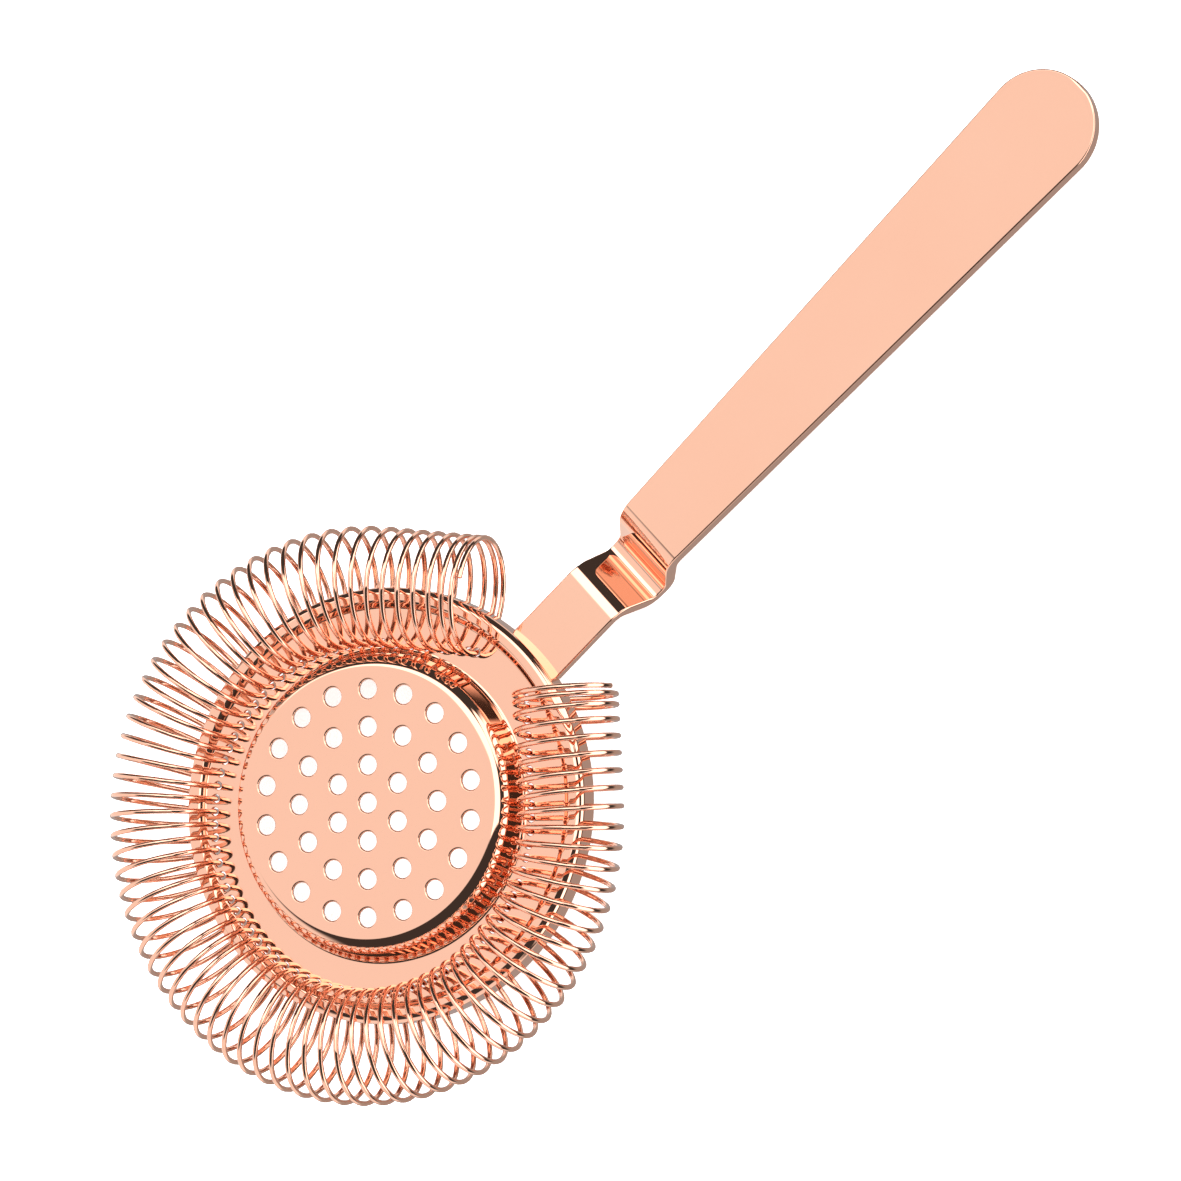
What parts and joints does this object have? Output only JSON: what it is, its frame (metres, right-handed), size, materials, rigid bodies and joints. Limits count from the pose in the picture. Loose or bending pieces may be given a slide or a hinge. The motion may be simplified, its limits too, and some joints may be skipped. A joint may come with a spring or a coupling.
{
  "type": "hawthorne strainer",
  "caption": "Mirror-copper bar strainer: perforated domed dish with a coil spring laced around its rim and a cranked flat handle.",
  "frame": {"origin": "on the dish's axis, in the plane of the handle strip's spring-side face, which lies on the tin's lip", "axes": "+X along the handle, away from the dish; +Z along the dish's axis, towards the cup and the coil"},
  "size_m": [0.2391, 0.1058, 0.0269],
  "materials": {
    "copper_dish": "mirror-polished copper plating on steel sheet",
    "copper_wire": "bright copper-plated spring wire",
    "copper_bar": "mirror-polished copper plating on a steel bar",
    "weld_bead": "plated weld bead, slightly dull"
  },
  "bodies": {
    "dish": {"strainer_dish": "copper_dish", "handle": "copper_bar", "handle_weld": "weld_bead"},
    "spring": {"coil_spring": "copper_wire"}
  },
  "joints": [
    {"name": "coil_squeeze", "type": "slide", "parent": "dish", "child": "spring", "axis": [1, 0, 0], "range_m": [0, 0.003], "stiffness_N_per_m": 600, "deforming": ["coil_spring"]}
  ]
}
